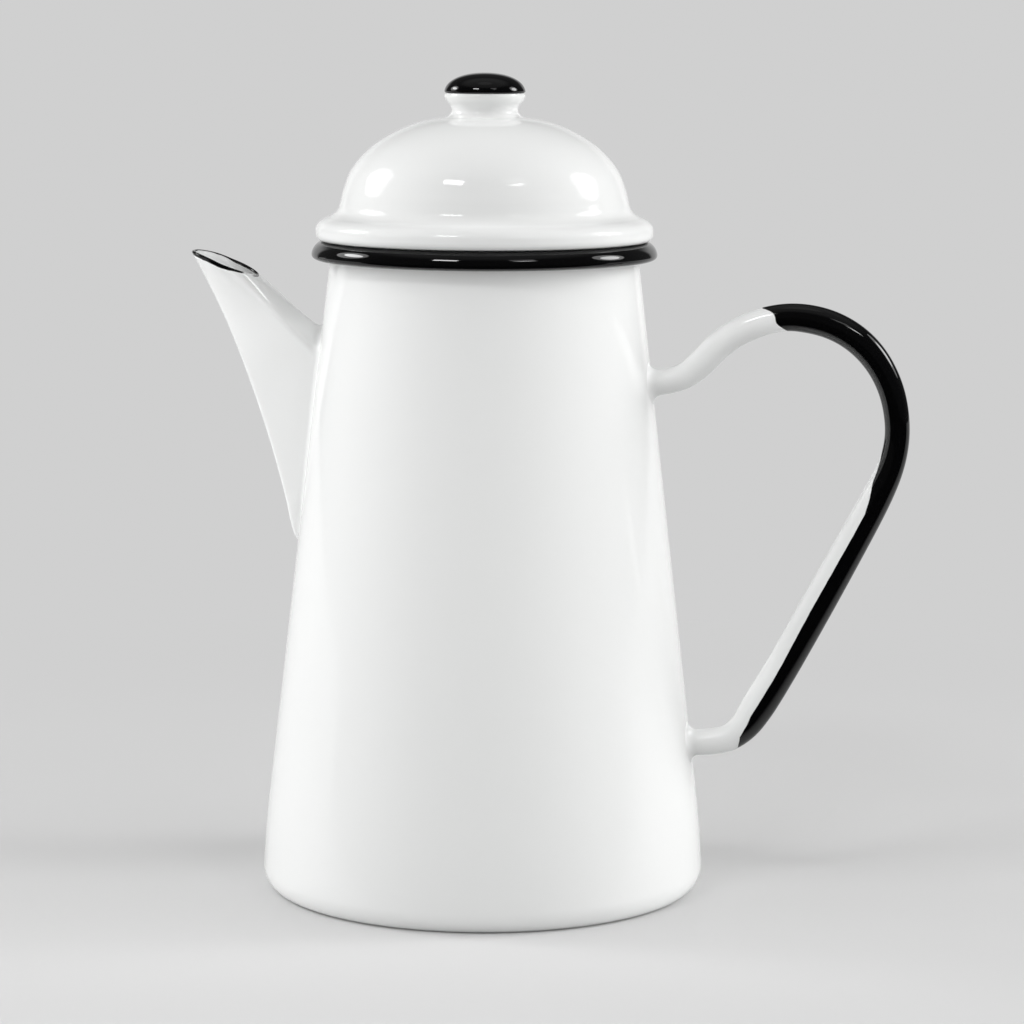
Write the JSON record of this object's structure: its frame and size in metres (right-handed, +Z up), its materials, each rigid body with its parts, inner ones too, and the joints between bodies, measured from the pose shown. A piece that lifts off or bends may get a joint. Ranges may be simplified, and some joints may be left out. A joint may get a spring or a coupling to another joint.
{
  "type": "enamel coffee pot",
  "caption": "Tapered enamelled steel coffee pot with a beak spout, a bent tube handle and a domed lid with a button knob that lifts off.",
  "frame": {"origin": "centre of the flat bottom, on the surface that the pot stands on", "axes": "+Z up along the pot's axis, -X towards the spout, +X towards the handle, Y across"},
  "size_m": [0.2035, 0.1252, 0.2304],
  "materials": {
    "enamel_white": "glossy white vitreous enamel",
    "enamel_black": "glossy black vitreous enamel",
    "steel_wire": "plain steel wire and rivets"
  },
  "bodies": {
    "pot": {"body_shell": "enamel_white", "base_pan": "enamel_white", "rim_bead": "enamel_black", "rim_wire": "steel_wire", "spout_shell": "enamel_white", "handle_tube": "enamel_black", "handle_upper_foot": "enamel_white", "handle_lower_foot": "enamel_white"},
    "lid": {"lid_dome": "enamel_white", "lid_collar": "enamel_white", "knob_neck": "enamel_white", "knob_cap": "enamel_black", "knob_rivet": "steel_wire", "knob_washer": "steel_wire"}
  },
  "joints": [
    {"name": "lid_lift", "type": "slide", "parent": "pot", "child": "lid", "axis": [0, 0, 1], "range_m": [0, 0.06]}
  ]
}
